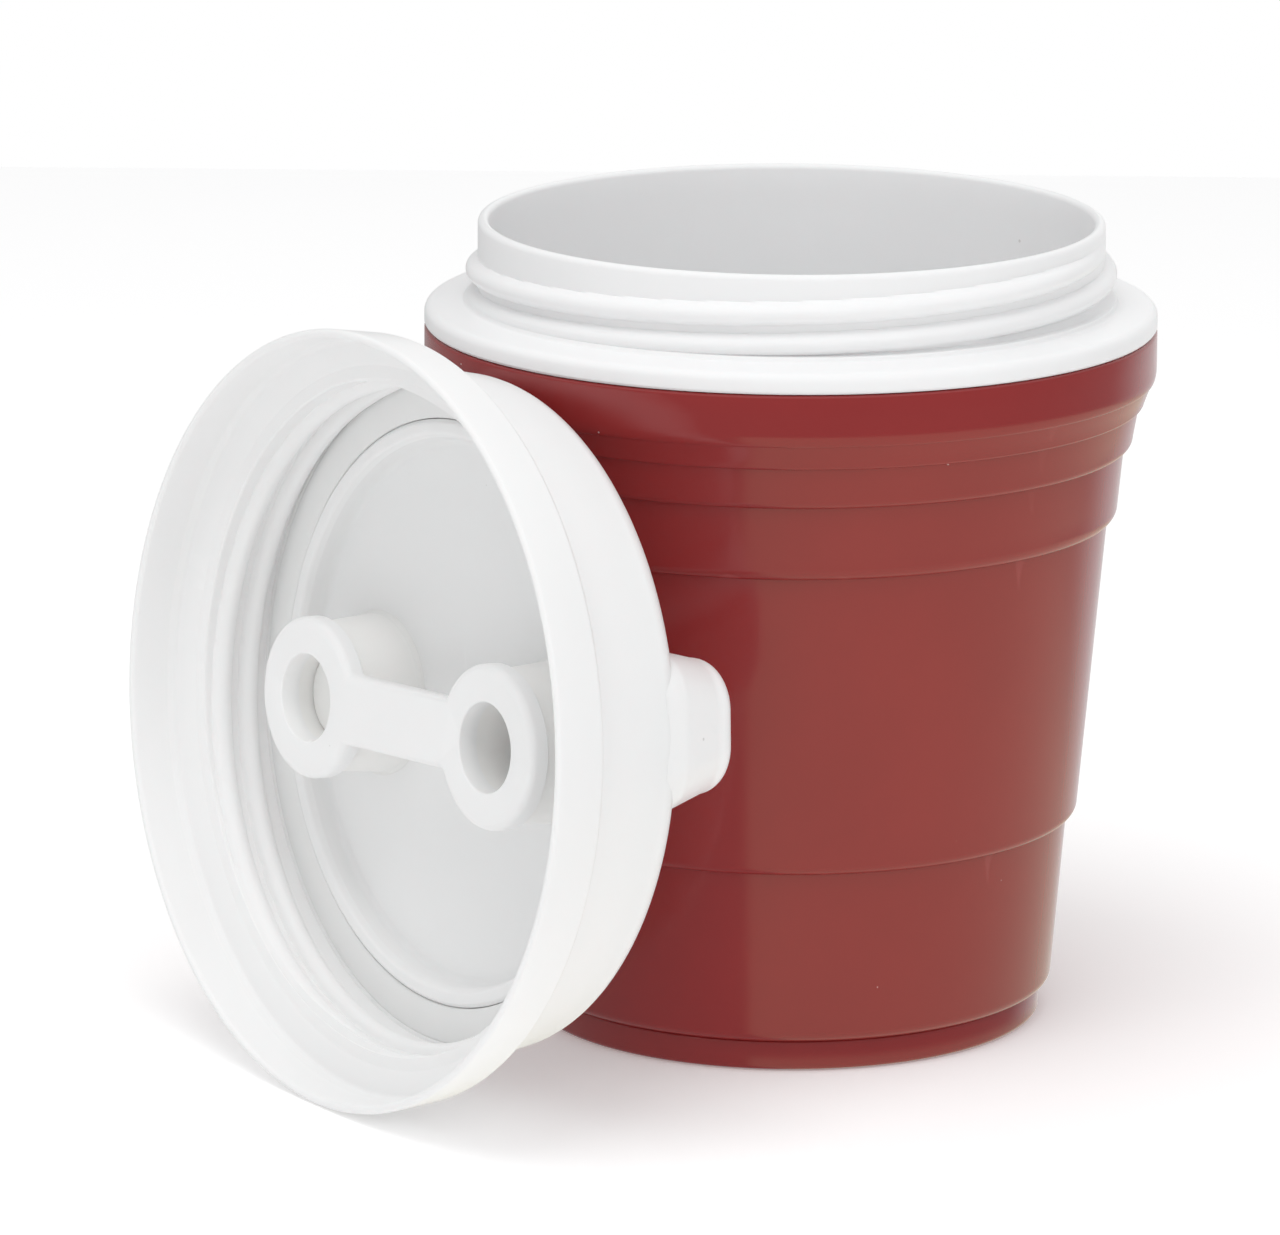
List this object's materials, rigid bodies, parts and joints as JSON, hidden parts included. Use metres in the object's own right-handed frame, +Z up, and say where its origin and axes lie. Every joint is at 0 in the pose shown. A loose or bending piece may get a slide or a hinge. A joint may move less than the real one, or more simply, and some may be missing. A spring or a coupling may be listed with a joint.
{
  "type": "rock tumbler barrel",
  "caption": "Double-walled tapering tumbling barrel with a stepped shell, a white screw neck and its screw lid off, leaning on the shell by its grip bar.",
  "frame": {"origin": "centre of the barrel's flat base, on the surface it stands on", "axes": "+Z up along the barrel's axis; the picture looks along +Y, with +X to the right"},
  "size_m": [0.1597, 0.1626, 0.126],
  "materials": {
    "red_shell": "gloss",
    "red_base": "gloss",
    "white_liner": "satin gloss",
    "foam": "open cell foam",
    "seal": "matte",
    "pale_seal": "satin",
    "white_lid": "satin gloss",
    "white_grip": "satin gloss",
    "white_insert": "satin gloss",
    "cream_post": "satin gloss",
    "white_bridge": "satin gloss",
    "cream_plug": "satin",
    "steel": "bright"
  },
  "bodies": {
    "barrel": {"outer_shell": "red_shell", "base_cap": "red_base", "liner": "white_liner", "neck_thread": "white_liner", "foam_jacket": "foam", "shell_seal": "seal"},
    "lid": {"lid_cap": "white_lid", "lid_thread": "white_lid", "grip_bar": "white_grip", "lid_insert": "white_insert", "post_left": "cream_post", "post_right": "cream_post", "post_bridge": "white_bridge", "well_plug": "cream_plug", "lid_gasket": "pale_seal", "lid_screws": "steel"}
  },
  "joints": [
    {"name": "lid_carry", "type": "hinge", "parent": "barrel", "child": "lid", "pos_m": [-0.05873, -0.04014, 0.12843], "axis": [-0.628, 0.777, -0.0443], "range_deg": [0, 265.72]}
  ]
}
